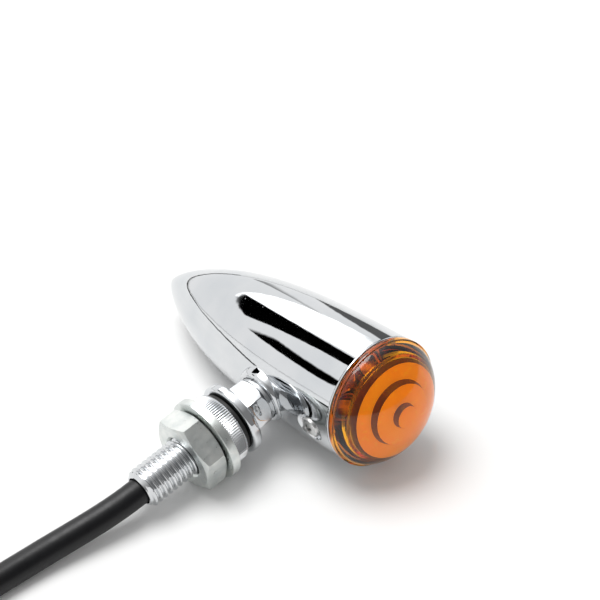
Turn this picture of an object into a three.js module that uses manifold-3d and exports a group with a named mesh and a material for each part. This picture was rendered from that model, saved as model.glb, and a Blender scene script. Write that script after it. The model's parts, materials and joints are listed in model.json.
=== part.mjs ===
// Bullet turn signal for a motorcycle: a chrome bullet housing with an amber lens, on a hollow
// threaded stud that carries its nut, washer and cable. Millimetres, +Z up.
//
// Two axes place every piece. The lamp axis runs through the bullet, with 0 at its front rim and
// + towards the lens. The stem axis crosses it at right angles, with 0 on the lamp axis and
// + towards the free end of the stud. The whole lamp then lies on a surface at z = 0.
import * as THREE from "three";
import { mergeVertices } from "three/addons/utils/BufferGeometryUtils.js";
import Module from "manifold-3d";

const wasm = await Module();
wasm.setup();

// ---------------------------------------------------------------- driving dimensions

const GAP = 0.3; // clearance between pieces that touch
const OVERRUN = 1; // how far a cutter runs past the face that it cuts

const SHELL = { radius: 15.8, length: 77, bulge: 3.1, taper: 0.81, cavityRadius: 13.7, cavityLength: 68 };
const LENS = { flangeRadius: 15.9, flangeThick: 1.2, domeRadius: 15.5, domeHeight: 9.1, domePower: 1.39 };
const LENS_WALL = 1.7;
const DOME_STEPS = 9;
const LENS_STEPS = [3.4, 5.8, 8.2, 10.4, 11.9]; // radii of the steps inside the dome
const SPIGOT = { inner: 11.9, outer: 13.3, depth: 9.2 };
const SEAL = { inner: 12.8, outer: 13.5, from: 1.5, to: 2.5, groove: 12.5 };

const SCREW = { at: -7, shank: 1.35, hole: 1.65, head: 2.6, headHeight: 1.5, seat: 14.5, length: 5 };
const RECESS = { floor: 3.3, mouth: 4.3, mouthAt: 15.9 };
const LENS_INSIDE = 11; // stem cutters through the lens spigot start from here, inside it
const BORE_FROM = 8; // and the bore for the neck starts here, inside the cavity

const STEM_AT = -24.65; // where the stem axis crosses the lamp axis
const BOSS = { radius: 6.3, top: 16.9, bore: 5.5 };
const NECK = { bore: 3.8, spigot: 5.2, spigotEnd: 13.6, cone: 5.6, coneAt: 17.2, ridgeAt: 18 };
const NECK_HEX = { across: 11.6, turn: 14 }; // turn is in degrees
const FLANGE = { radius: 9.1, from: 23.05, to: 25.65, bevel: 0.5 };
const COLLAR = { root: 8.5, crest: 8.85, teeth: 48, from: 27.25, to: 31 };
const THREAD = { crest: 4.95, root: 4.15, pitch: 1.5, end: 53.1, cableBore: 3.55, boreEnd: 45 };
const SHANK = { radius: 3.5, end: 11.6, wireBore: 2.4, groove: 2.95, grooveFrom: 12.5, grooveTo: 13.4 };
const WASHER = { inner: 5.3, outer: 10.45, thick: 2.3 };
const NUT = { bore: 5.25, across: 17, height: 6, bevel: 0.75, turn: -18.5 };

const PLATE = { front: -12.1, thick: 1, radius: 13.2, hole: 5.8, screwAt: 11, screwHole: 1.25 };
const PLATE_BOSS = { radius: 2.6, depth: 12, holeDepth: 9 };
const PLATE_SCREW = { shank: 0.95, head: 1.9, headHeight: 1.1, reach: 5.6 };
const TERMINAL = { thick: 0.6, inner: 1.25, outer: 2.1, tongueLength: 5.2, tongueWidth: 1.6 };
const SOCKET = { inner: 4.95, outer: 5.5, front: -11.2, lip: 7.2, lipThick: 0.6, back: -29 };
const BAYONET = { at: -16.5, pin: 1, pinReach: 5.8, legHalf: 1.35, legAngle: 50 };
const BULB = { glass: 4.4, glassWall: 0.5, tip: 4.3, neck: -9.8, base: 4.6, baseEnd: -19.5 };
const FILAMENT = { post: 0.22, postEnd: -1.6, spread: 1.5, coil: 0.3 };
const CONTACT = { radius: 2.9, from: -23.4, to: -22.4 };
const CARRIER = { radius: 4.6, from: -28.3, to: -26.8 };
const SPRING = { radius: 2.2, wire: 0.2, turns: 3, steps: 30, from: -26.3, to: -24.2 };

const CABLE = { radius: 3.2, sides: 12, steps: 26 };
const COIL = { x: -31, y: -109.6, outer: 41.2, inner: 26.2, low: 0.1, high: 6.5 };
const WIRE = { radius: 0.8, sides: 8 };
const TAIL = { radius: 0.9, height: 1, strands: 0.45, stripped: 8 };

// The lamp lies with its tail low, on the bullet's belly and on the washer's rim.
const REST_TILT = THREE.MathUtils.degToRad(6);
const REST_ROLL = THREE.MathUtils.degToRad(9.15);

// ---------------------------------------------------------------- materials

function paint(color, roughness, metalness) {
  return new THREE.MeshStandardMaterial({ color, roughness, metalness });
}

const chrome = paint(0xdfe2e6, 0.06, 1);
const zinc = paint(0xb9bdb8, 0.42, 1);
const steel = paint(0x8d9092, 0.4, 1);
const brass = paint(0xb98f45, 0.3, 1);
const tin = paint(0xc4c4c0, 0.35, 1);
const amber = paint(0xff7a00, 0.05, 0);
const glass = paint(0xe8eef0, 0.03, 0);
const nylon = paint(0x141414, 0.5, 0);
const vinyl = paint(0x111112, 0.45, 0);
const phenolic = paint(0x5a3a22, 0.6, 0);

// ---------------------------------------------------------------- shape helpers

// A solid of revolution from [radius, height] pairs, about Y.
function turned(pairs, segments = 40) {
  return new THREE.LatheGeometry(pairs.map(([r, y]) => new THREE.Vector2(r, y)), segments);
}

// A ring of revolution: its outline closes on itself.
function ring(inner, outer, from, to, segments = 40) {
  return turned([[inner, from], [outer, from], [outer, to], [inner, to], [inner, from]], segments);
}

// A solid rod along Y.
function rod(radius, from, to, segments = 24) {
  return turned([[0, from], [radius, from], [radius, to], [0, to]], segments);
}

// A hexagonal prism along Y with its corners turned off as far as the profile says.
function hexagon(across, from, to, turnDegrees, profile, segments) {
  const prism = rod(across / Math.sqrt(3), from, to, 6).rotateY(THREE.MathUtils.degToRad(turnDegrees));
  return common(prism, turned(profile, segments));
}

// A tube or rod along a list of points.
function swept(points, radius, sides, steps) {
  const path = new THREE.CatmullRomCurve3(points.map((p) => new THREE.Vector3(...p)), false, "centripetal");
  const section = new THREE.Shape();
  for (let i = 0; i < sides; i++) {
    const a = (i / sides) * 2 * Math.PI;
    section[i ? "lineTo" : "moveTo"](radius * Math.cos(a), radius * Math.sin(a));
  }
  section.closePath();
  return new THREE.ExtrudeGeometry(section, { steps, bevelEnabled: false, extrudePath: path });
}

function solid(geometry) {
  const bare = geometry.index ? geometry.toNonIndexed() : geometry.clone();
  bare.deleteAttribute("normal");
  bare.deleteAttribute("uv");
  const merged = mergeVertices(bare, 1e-4);
  const mesh = new wasm.Mesh({
    numProp: 3,
    vertProperties: new Float32Array(merged.attributes.position.array),
    triVerts: new Uint32Array(merged.index.array),
  });
  return new wasm.Manifold(mesh);
}

function geometryOf(manifold) {
  const { vertProperties, triVerts } = manifold.getMesh();
  const geometry = new THREE.BufferGeometry();
  geometry.setAttribute("position", new THREE.BufferAttribute(new Float32Array(vertProperties), 3));
  geometry.setIndex(new THREE.BufferAttribute(new Uint32Array(triVerts), 1));
  geometry.computeVertexNormals();
  return geometry;
}

function common(a, b) {
  return geometryOf(solid(a).intersect(solid(b)));
}

function cut(body, ...tools) {
  return geometryOf(tools.reduce((left, tool) => left.subtract(solid(tool)), solid(body)));
}

function join(...pieces) {
  return geometryOf(pieces.slice(1).reduce((left, piece) => left.add(solid(piece)), solid(pieces[0])));
}

// ---------------------------------------------------------------- groups

// Geometry is made about Y. lampAxis turns Y to the lamp axis, stemAxis to the stem axis.
const lampAxis = new THREE.Group();
lampAxis.rotation.z = -Math.PI / 2;
const stemAxis = new THREE.Group();
stemAxis.rotation.x = Math.PI;
stemAxis.position.x = STEM_AT;
const lampWires = new THREE.Group();
const cord = new THREE.Group();

function place(group, name, geometry, material) {
  const mesh = new THREE.Mesh(geometry, material);
  mesh.name = name;
  group.add(mesh);
}

// In the lamp group's own frame the stem points along +X: this lays a stem tool there.
function acrossLamp(geometry, at) {
  return geometry.rotateZ(-Math.PI / 2).translate(0, at, 0);
}

// ---------------------------------------------------------------- housing and lens

function bulletRadius(radius, length, x) {
  return radius * Math.pow(1 - Math.pow(-x / length, SHELL.bulge), SHELL.taper);
}

function bulletOutline(radius, length, steps) {
  const points = [[0, -length]];
  for (let i = steps - 1; i >= 0; i--) {
    const x = -length * Math.sin((i / steps) * (Math.PI / 2));
    points.push([bulletRadius(radius, length, x), x]);
  }
  return points;
}

// One rod at each of the two plate screws.
function atPlateScrews(radius, from, to, segments) {
  return [-1, 1].map((side) => rod(radius, from, to, segments).translate(0, 0, side * PLATE.screwAt));
}

function makeHousing() {
  const outside = bulletOutline(SHELL.radius, SHELL.length, 14);
  const inside = bulletOutline(SHELL.cavityRadius, SHELL.cavityLength, 8).reverse();
  outside.splice(-1, 1, [SHELL.radius, -0.4], [SHELL.radius - 0.4, 0]);
  const shell = turned([...outside, ...inside], 48);
  const boss = acrossLamp(rod(BOSS.radius, SHELL.cavityRadius - 0.5, BOSS.top, 32), STEM_AT);
  const bore = acrossLamp(rod(BOSS.bore, BORE_FROM, BOSS.top + OVERRUN, 32), STEM_AT);
  const recess = [[0, SCREW.seat], [RECESS.floor, SCREW.seat], [RECESS.mouth, RECESS.mouthAt]];
  recess.push([RECESS.mouth, RECESS.mouthAt + OVERRUN], [0, RECESS.mouthAt + OVERRUN]);
  const spotFace = acrossLamp(turned(recess, 32), SCREW.at);
  const screwHole = acrossLamp(rod(SCREW.hole, LENS_INSIDE, BOSS.top, 16), SCREW.at);
  const seat = PLATE.front - PLATE.thick - GAP;
  const plateBosses = atPlateScrews(PLATE_BOSS.radius, seat - PLATE_BOSS.depth, seat, 16);
  const tapped = atPlateScrews(PLATE.screwHole, seat - PLATE_BOSS.holeDepth, seat + OVERRUN, 12);
  const body = join(shell, boss, ...plateBosses);
  return cut(body, bore, spotFace, screwHole, ...tapped);
}

function domeHeight(radius) {
  const share = 1 - Math.pow(radius / LENS.domeRadius, 2);
  return GAP + LENS.flangeThick + LENS.domeHeight * Math.pow(Math.max(share, 0), 1 / LENS.domePower);
}

function makeLens() {
  const outline = [];
  let radius = 0;
  for (const step of LENS_STEPS) {
    const depth = domeHeight(step) - LENS_WALL;
    outline.push([radius, depth], [step, depth]);
    radius = step;
  }
  outline.push([SPIGOT.inner, -SPIGOT.depth], [SPIGOT.outer, -SPIGOT.depth]);
  outline.push([SPIGOT.outer, -SEAL.to - 0.1], [SEAL.groove, -SEAL.to - 0.1]);
  outline.push([SEAL.groove, -SEAL.from + 0.1], [SPIGOT.outer, -SEAL.from + 0.1]);
  outline.push([SPIGOT.outer, GAP], [LENS.flangeRadius, GAP], [LENS.flangeRadius, GAP + LENS.flangeThick]);
  for (let i = 0; i <= DOME_STEPS; i++) {
    const r = LENS.domeRadius * Math.cos((i / DOME_STEPS) * (Math.PI / 2));
    outline.push([i === DOME_STEPS ? 0 : r, domeHeight(r)]);
  }
  const screwHole = acrossLamp(rod(SCREW.hole, LENS_INSIDE, SCREW.seat, 16), SCREW.at);
  return cut(turned(outline, 44), screwHole);
}

// Phillips screw along Y, head up: the seat is at the height given.
function phillipsScrew(shank, head, headHeight, seat, length) {
  const dome = [[0, seat - length], [shank, seat - length], [shank, seat], [head, seat]];
  dome.push([head, seat + headHeight * 0.45], [head * 0.7, seat + headHeight * 0.9], [0, seat + headHeight]);
  const slot = head * 1.1;
  const bladeAcross = new THREE.BoxGeometry(slot, headHeight, head * 0.22);
  const bladeAlong = new THREE.BoxGeometry(head * 0.22, headHeight, slot);
  const top = seat + headHeight * 0.95;
  return cut(turned(dome, 20), bladeAcross.translate(0, top, 0), bladeAlong.translate(0, top, 0));
}

place(lampAxis, "housing_shell", makeHousing(), chrome);
place(lampAxis, "lens", makeLens(), amber);
place(lampAxis, "lens_seal", ring(SEAL.inner, SEAL.outer, -SEAL.to, -SEAL.from), nylon);
const lensScrew = phillipsScrew(SCREW.shank, SCREW.head, SCREW.headHeight, SCREW.seat + GAP, SCREW.length);
place(lampAxis, "lens_screw", acrossLamp(lensScrew, SCREW.at), steel);

// ---------------------------------------------------------------- bulb and socket

function makeBulbGlass() {
  const { glass: r, glassWall: wall, tip, neck } = BULB;
  const outside = [[r - 0.3, neck + GAP]];
  const inside = [];
  const centre = tip - r;
  const steps = 4;
  for (let i = 0; i <= steps; i++) {
    const a = (i / steps) * (Math.PI / 2);
    outside.push([i === steps ? 0 : r * Math.cos(a), centre + r * Math.sin(a)]);
    inside.unshift([i === steps ? 0 : (r - wall) * Math.cos(a), centre + (r - wall) * Math.sin(a)]);
  }
  return turned([...outside, ...inside, [r - 0.3 - wall, neck + GAP], [r - 0.3, neck + GAP]], 20);
}

function makeFilament() {
  const { post, postEnd, spread, coil } = FILAMENT;
  const foot = BULB.neck + 2 * GAP;
  const posts = [-1, 1].map((side) => rod(post, foot, postEnd, 8).translate(0, 0, side * spread));
  const ends = [-1, 1].map((side) => [0, postEnd - post, side * (spread + post)]);
  return join(...posts, swept([ends[0], [0.5, postEnd + 0.4, 0], ends[1]], coil, 8, 8));
}

function makeBulbBase() {
  const can = rod(BULB.base, BULB.baseEnd, BULB.neck, 28);
  const pins = rod(BAYONET.pin, -BAYONET.pinReach, BAYONET.pinReach, 12).rotateX(Math.PI / 2);
  return join(can, pins.translate(0, BAYONET.at, 0));
}

// A ring sector about Y, to cut the turning leg of a bayonet slot.
function sector(inner, outer, from, to, startDegrees, sweepDegrees) {
  const start = THREE.MathUtils.degToRad(startDegrees);
  const end = THREE.MathUtils.degToRad(startDegrees + sweepDegrees);
  const shape = new THREE.Shape();
  shape.absarc(0, 0, outer, start, end, false);
  shape.absarc(0, 0, inner, end, start, true);
  shape.closePath();
  const leg = new THREE.ExtrudeGeometry(shape, { depth: to - from, bevelEnabled: false, curveSegments: 6 });
  return leg.rotateX(-Math.PI / 2).translate(0, from, 0);
}

function makeSocketShell() {
  const { inner, outer, front, lip, lipThick, back } = SOCKET;
  const outline = [[inner, back], [outer, back], [outer, front - lipThick], [lip, front - lipThick]];
  outline.push([lip, front], [inner, front], [inner, back]);
  const legLow = BAYONET.at - BAYONET.legHalf;
  const legHigh = BAYONET.at + BAYONET.legHalf;
  const tools = [];
  for (const side of [90, 270]) {
    const half = THREE.MathUtils.radToDeg(BAYONET.legHalf / inner);
    tools.push(sector(4, 6.3, legLow, legHigh, side - half, BAYONET.legAngle + 2 * half));
    tools.push(sector(4, 8, legLow, front + OVERRUN, side + BAYONET.legAngle - half, 2 * half));
  }
  return cut(turned(outline, 36), ...tools);
}

function makeSocketPlate() {
  const { front, thick, radius, hole, screwHole } = PLATE;
  const disc = ring(hole, radius, front - thick, front, 48);
  const holes = atPlateScrews(screwHole, front - thick - OVERRUN, front + OVERRUN, 12);
  const wireNotch = new THREE.BoxGeometry(3.4, 4, 3.4).translate(-8.6, front, -8.2);
  return cut(disc, ...holes, wireNotch);
}

// The lower plate screw also clamps the ground terminal, so its seat is higher.
function makePlateScrew(side, seat) {
  const { shank, head, headHeight, reach } = PLATE_SCREW;
  const screw = phillipsScrew(shank, head, headHeight, seat, seat - PLATE.front + reach);
  return screw.translate(0, 0, side * PLATE.screwAt);
}

function makeGroundTerminal() {
  const { thick, inner, outer, tongueLength, tongueWidth } = TERMINAL;
  const low = PLATE.front + GAP;
  const eye = ring(inner, outer, low, low + thick, 20).translate(0, 0, -PLATE.screwAt);
  const tongue = new THREE.BoxGeometry(tongueLength, thick, tongueWidth);
  tongue.translate(-outer * 2, low + thick / 2, tongueWidth / 2 - PLATE.screwAt);
  return join(eye, tongue);
}

function makeContactSpring() {
  const { radius, wire, turns, steps, from, to } = SPRING;
  const points = [];
  for (let i = 0; i <= steps; i++) {
    const a = (i / steps) * turns * 2 * Math.PI;
    points.push([radius * Math.cos(a), from + ((to - from) * i) / steps, radius * Math.sin(a)]);
  }
  return swept(points, wire, 6, steps);
}

place(lampAxis, "bulb_glass", makeBulbGlass(), glass);
place(lampAxis, "bulb_filament", makeFilament(), steel);
place(lampAxis, "bulb_base", makeBulbBase(), brass);
const insulator = [[0, -20.9], [2.4, -20.9], [4, -19.8], [0, -19.8]];
const tipContact = [[0, -22.1], [1, -22], [1.5, -21.2], [0, -21.2]];
place(lampAxis, "bulb_insulator", turned(insulator, 24), nylon);
place(lampAxis, "bulb_tip_contact", turned(tipContact, 16), tin);
place(lampAxis, "socket_shell", makeSocketShell(), steel);
place(lampAxis, "socket_plate", makeSocketPlate(), steel);
place(lampAxis, "plate_screw_upper", makePlateScrew(1, PLATE.front + GAP), steel);
place(lampAxis, "plate_screw_lower", makePlateScrew(-1, PLATE.front + TERMINAL.thick + 2 * GAP), steel);
place(lampAxis, "ground_terminal", makeGroundTerminal(), tin);
place(lampAxis, "centre_contact", rod(CONTACT.radius, CONTACT.from, CONTACT.to, 20), brass);
place(lampAxis, "contact_spring", makeContactSpring(), steel);
place(lampAxis, "contact_carrier", rod(CARRIER.radius, CARRIER.from, CARRIER.to, 24), phenolic);

// ---------------------------------------------------------------- stem, nut and washer

function makeNeck() {
  const { bore, spigot, spigotEnd, cone, coneAt, ridgeAt } = NECK;
  const corner = NECK_HEX.across / Math.sqrt(3) + GAP;
  const hexEnd = FLANGE.from + 0.1;
  const outline = [[0, spigotEnd], [spigot, spigotEnd], [spigot, coneAt], [cone, coneAt]];
  outline.push([corner, ridgeAt + 2 * GAP], [corner, hexEnd], [0, hexEnd]);
  const hex = hexagon(NECK_HEX.across, spigotEnd - OVERRUN, hexEnd, NECK_HEX.turn, outline, 48);
  const rim = [[0, FLANGE.from], [FLANGE.radius - FLANGE.bevel, FLANGE.from]];
  rim.push([FLANGE.radius, FLANGE.from + FLANGE.bevel], [FLANGE.radius, FLANGE.to - FLANGE.bevel]);
  rim.push([FLANGE.radius - FLANGE.bevel, FLANGE.to], [0, FLANGE.to]);
  return cut(join(hex, turned(rim, 48)), rod(bore, spigotEnd - OVERRUN, FLANGE.to + OVERRUN, 28));
}

function makeKnurl() {
  const shape = new THREE.Shape();
  for (let i = 0; i < COLLAR.teeth * 2; i++) {
    const a = (i / (COLLAR.teeth * 2)) * 2 * Math.PI;
    const r = i % 2 ? COLLAR.root : COLLAR.crest;
    shape[i ? "lineTo" : "moveTo"](r * Math.cos(a), r * Math.sin(a));
  }
  shape.closePath();
  const band = new THREE.ExtrudeGeometry(shape, { depth: COLLAR.to - COLLAR.from, bevelEnabled: false });
  return band.rotateX(-Math.PI / 2).translate(0, COLLAR.from, 0);
}

function makeStud() {
  const { crest, root, pitch, end, cableBore, boreEnd } = THREAD;
  const threadStart = COLLAR.to - 0.2;
  const outline = [[SHANK.wireBore, SHANK.end], [SHANK.radius, SHANK.end]];
  outline.push([SHANK.radius, SHANK.grooveFrom], [SHANK.groove, SHANK.grooveFrom]);
  outline.push([SHANK.groove, SHANK.grooveTo], [SHANK.radius, SHANK.grooveTo]);
  outline.push([SHANK.radius, COLLAR.from + 1], [root, COLLAR.from + 1], [root, threadStart + 0.8]);
  const turns = Math.floor((end - threadStart - 1.4) / pitch);
  for (let i = 0; i < turns; i++) {
    const foot = end - 0.7 - (turns - i) * pitch;
    outline.push([root, foot], [crest, foot + pitch / 2]);
  }
  outline.push([root, end - 0.7], [root, end], [cableBore, end], [cableBore, boreEnd]);
  outline.push([SHANK.wireBore, boreEnd], [SHANK.wireBore, SHANK.end]);
  const passage = rod(SHANK.wireBore, COLLAR.from - OVERRUN, COLLAR.to + OVERRUN, 24);
  return join(turned(outline, 24), cut(makeKnurl(), passage));
}

function makeRetainingRing() {
  const from = (SHANK.grooveFrom + SHANK.grooveTo) / 2 - 0.15;
  const gapCut = new THREE.BoxGeometry(2.4, 3, 6).translate(0, from, 4);
  return cut(ring(SHANK.groove + GAP, 4.7, from, from + 0.3, 28), gapCut);
}

const washerFrom = COLLAR.to + GAP;
const nutFrom = washerFrom + WASHER.thick + GAP;

function makeNut() {
  const { bore, across, height, bevel, turn } = NUT;
  const nutTo = nutFrom + height;
  const corner = across / Math.sqrt(3) + 0.1;
  const face = across / 2 - 0.1;
  const outline = [[0, nutFrom], [face, nutFrom], [corner, nutFrom + bevel], [corner, nutTo - bevel]];
  outline.push([face, nutTo], [0, nutTo]);
  const blank = hexagon(across, nutFrom, nutTo, turn, outline, 36);
  return cut(blank, rod(bore, nutFrom - OVERRUN, nutTo + OVERRUN, 32));
}

place(stemAxis, "neck_fitting", makeNeck(), chrome);
place(stemAxis, "swivel_washer", ring(3.9, 7.8, FLANGE.to + GAP, COLLAR.from - GAP, 36), nylon);
place(stemAxis, "threaded_stud", makeStud(), chrome);
place(stemAxis, "retaining_ring", makeRetainingRing(), steel);
const washer = ring(WASHER.inner, WASHER.outer, washerFrom, washerFrom + WASHER.thick, 48);
place(stemAxis, "flat_washer", washer, zinc);
place(stemAxis, "hex_nut", makeNut(), zinc);

// ---------------------------------------------------------------- wires inside the lamp

const wireEnd = -(THREAD.boreEnd + 2);
const powerRoute = [
  [-28.9, 0, 0], [-31, -0.6, 0.3], [-32, -3.6, 0.8], [-29.6, -7.4, 1.1],
  [-25.8, -10, 1.05], [STEM_AT, -13.5, 1.05], [STEM_AT, -30, 1.05], [STEM_AT, wireEnd, 1.05],
];
const groundRoute = [
  [-11.2, 7.4, -9], [-12.6, 8.5, -8.2], [-15, 8.4, -7.6], [-20, 6.6, -7], [-25, 1.8, -7.8],
  [-27, -3.6, -7], [-26.2, -7.8, -4.4], [-25, -10.3, -1.9], [STEM_AT, -12.4, -1.05], [STEM_AT, -30, -1.05],
  [STEM_AT, wireEnd, -1.05],
];

place(lampWires, "power_wire", swept(powerRoute, WIRE.radius, WIRE.sides, 20), vinyl);
place(lampWires, "ground_wire", swept(groundRoute, WIRE.radius, WIRE.sides, 26), vinyl);

// ---------------------------------------------------------------- lay the lamp on its surface

const lamp = new THREE.Group();
lamp.add(lampAxis, stemAxis, lampWires);
lamp.rotation.set(REST_ROLL, 0, 0);
const laid = new THREE.Group();
laid.rotation.set(0, -REST_TILT, 0);
laid.add(lamp);
laid.updateMatrixWorld(true);
const extent = new THREE.Box3().setFromObject(laid, true);
const middle = extent.getCenter(new THREE.Vector3());
laid.position.set(-middle.x, -middle.y, -extent.min.z);

// ---------------------------------------------------------------- cable, on the surface

// The route starts inside the stud's bore, comes out of its end and sinks to the surface.
const cableRoute = [
  [9.26, -28.9, 8.07], [9.34, -33.83, 7.28], [9.29, -38.8, 6.48], [8.95, -43.8, 5.68],
  [8.4, -48.8, 4.93], [7.85, -53.8, 4.32], [7.4, -58.8, 3.85], [7.15, -63.8, 3.53],
  [7.03, -68.8, 3.36], [7, -72.8, 3.3], [7, -76, 3.3], [7, -79, 3.3], [7, -82, 3.3],
  [7, -84.2, 3.3], [7, -86, 3.3],
];

// Each tail's points are [degrees, radius] about the middle of the coil.
const signalTail = [[-118, 24.8], [-136, 23.7], [-155, 22.4], [-174, 20.9], [-194, 19.2]];
const groundTail = [[-124, 22.2], [-144, 20.7], [-166, 18.8], [-190, 16.4], [-216, 13.8]];

function inCoil([degrees, radius]) {
  const a = THREE.MathUtils.degToRad(degrees);
  return [COIL.x + radius * Math.cos(a), COIL.y + radius * Math.sin(a), TAIL.height];
}

// The bare strands go straight on from the end of a tail's insulation.
function strandsOf(route) {
  const last = new THREE.Vector3(...inCoil(route.at(-1)));
  const before = new THREE.Vector3(...inCoil(route.at(-2)));
  const along = last.clone().sub(before).normalize();
  const start = last.clone().addScaledVector(along, GAP);
  const end = last.clone().addScaledVector(along, GAP + TAIL.stripped);
  return swept([start.toArray(), end.toArray()], TAIL.strands, 8, 2);
}

const coilBody = ring(COIL.inner, COIL.outer, COIL.low, COIL.high, 48).rotateX(Math.PI / 2);
place(cord, "cable_lead", swept(cableRoute, CABLE.radius, CABLE.sides, CABLE.steps), vinyl);
place(cord, "cable_coil", coilBody.translate(COIL.x, COIL.y, 0), vinyl);
place(cord, "signal_tail", swept(signalTail.map(inCoil), TAIL.radius, WIRE.sides, 10), vinyl);
place(cord, "ground_tail", swept(groundTail.map(inCoil), TAIL.radius, WIRE.sides, 10), vinyl);
place(cord, "signal_strands", strandsOf(signalTail), tin);
place(cord, "ground_strands", strandsOf(groundTail), tin);

const turnSignal = new THREE.Group();
turnSignal.add(laid, cord);

export default turnSignal;
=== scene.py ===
# Looks of a bullet turn signal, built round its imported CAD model. Metres, +Z up.
#
# Most pieces are turned or extruded along one of two axes, LAMP and STEM. Their outlines are
# lists of [radius, height] in millimetres: LAMP's heights run along the bullet, 0 at its front
# rim and + towards the lens, and STEM's run out along the stud, with 0 on the lamp axis.
import json
import math

import bmesh
import bpy
import numpy as np
from mathutils import Matrix, Vector


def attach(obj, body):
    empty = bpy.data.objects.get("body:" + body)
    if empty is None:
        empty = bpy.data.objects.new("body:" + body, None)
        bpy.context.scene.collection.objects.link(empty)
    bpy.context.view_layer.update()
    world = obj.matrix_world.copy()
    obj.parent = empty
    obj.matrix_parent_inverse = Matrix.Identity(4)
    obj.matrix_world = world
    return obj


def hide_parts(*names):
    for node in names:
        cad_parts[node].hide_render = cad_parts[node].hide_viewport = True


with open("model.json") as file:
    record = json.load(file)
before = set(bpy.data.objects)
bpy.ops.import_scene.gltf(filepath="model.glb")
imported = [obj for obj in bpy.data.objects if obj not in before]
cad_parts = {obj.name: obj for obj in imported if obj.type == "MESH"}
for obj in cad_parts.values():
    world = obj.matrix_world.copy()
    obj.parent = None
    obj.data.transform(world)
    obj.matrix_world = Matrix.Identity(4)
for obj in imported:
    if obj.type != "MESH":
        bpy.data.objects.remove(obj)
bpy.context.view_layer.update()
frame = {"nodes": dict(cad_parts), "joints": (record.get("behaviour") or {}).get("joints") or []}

MM = 0.001
TURN = 2 * math.pi
ON_AXIS = 1e-6  # a radius below this, in mm, counts as none
FILLET_SHARE = 0.45  # the most of an edge that the fillet at one of its ends may take
SCENE = bpy.context.scene


# ---------------------------------------------------------------- axes of the part

def axis_frame(origin, along, side):
    """A frame at origin whose Z runs along one direction and whose X leans to the other."""
    z = Vector(along).normalized()
    x = (Vector(side) - z * z.dot(Vector(side))).normalized()
    axes = Matrix((x, z.cross(x), z)).transposed().to_4x4()
    axes.translation = Vector(origin)
    return axes


JOINTS = {joint["name"]: joint for joint in frame["joints"]}
LAMP_DIRECTION = JOINTS["bulb_twist"]["axis"]
STEM_DIRECTION = JOINTS["head_swivel"]["axis"]
LAMP = axis_frame(JOINTS["bulb_twist"]["pos_m"], LAMP_DIRECTION, STEM_DIRECTION)
STEM = axis_frame(JOINTS["head_swivel"]["pos_m"], STEM_DIRECTION, LAMP_DIRECTION)


# ---------------------------------------------------------------- camera

AIM = (-0.0095, 0.0321, 0.016)
AZIMUTH, ELEVATION, ROLL = 49.23, 38.27, -1.57  # degrees
DISTANCE = 0.4937
LENS_MM, SENSOR_MM = 120, 36


def make_camera():
    azimuth, elevation = math.radians(AZIMUTH), math.radians(ELEVATION)
    flat = math.cos(elevation)
    toward = Vector((math.sin(azimuth) * flat, -math.cos(azimuth) * flat, math.sin(elevation)))
    data = bpy.data.cameras.new("camera")
    data.lens, data.sensor_width = LENS_MM, SENSOR_MM
    data.clip_start, data.clip_end = 0.01, 50
    camera = bpy.data.objects.new("camera", data)
    SCENE.collection.objects.link(camera)
    level = (-toward).to_track_quat("-Z", "Y").to_matrix()
    turned_view = (level @ Matrix.Rotation(math.radians(ROLL), 3, "Z")).to_4x4()
    camera.matrix_world = Matrix.Translation(Vector(AIM) + toward * DISTANCE) @ turned_view
    SCENE.camera = camera


# ---------------------------------------------------------------- mesh tools

def add_piece(name, vertices, faces, place=Matrix.Identity(4), sharp_degrees=32):
    """A mesh object at the origin, smooth but for edges sharper than the angle given."""
    mesh = bpy.data.meshes.new(name)
    mesh.from_pydata([tuple(v) for v in vertices], [], faces)
    mesh.validate()
    mesh.transform(place)
    piece = bpy.data.objects.new(name, mesh)
    SCENE.collection.objects.link(piece)
    tidy_mesh(piece, sharp_degrees)
    return piece


def tidy_mesh(piece, sharp_degrees):
    bm = bmesh.new()
    bm.from_mesh(piece.data)
    bmesh.ops.remove_doubles(bm, verts=bm.verts, dist=1e-7)
    bmesh.ops.recalc_face_normals(bm, faces=bm.faces)
    bm.to_mesh(piece.data)
    bm.free()
    piece.data.polygons.foreach_set("use_smooth", [True] * len(piece.data.polygons))
    piece.data.set_sharp_from_angle(angle=math.radians(sharp_degrees))


def dress(piece, material, body, slot, *nodes):
    """Gives a piece its material, the body it rides on and the nodes it stands for. slot is not used."""
    piece.data.materials.clear()
    piece.data.materials.append(material)
    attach(piece, body)
    if nodes:
        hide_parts(*nodes)
    return piece


def rounded(outline, radius, steps=3, closed=True):
    """The outline with its corners filleted, apart from those on the axis."""
    points = [np.array(p, float) for p in outline]
    count = len(points)
    made = []
    for i, point in enumerate(points):
        if point[0] < ON_AXIS or (not closed and i in (0, count - 1)):
            made.append(point)
            continue
        before, after = points[i - 1] - point, points[(i + 1) % count] - point
        shorter = min(np.linalg.norm(before), np.linalg.norm(after))
        reach = min(radius, FILLET_SHARE * shorter)
        start = point + before / np.linalg.norm(before) * reach
        end = point + after / np.linalg.norm(after) * reach
        for k in range(steps + 1):
            t = k / steps
            made.append((1 - t) ** 2 * start + 2 * t * (1 - t) * point + t * t * end)
    return made


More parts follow.
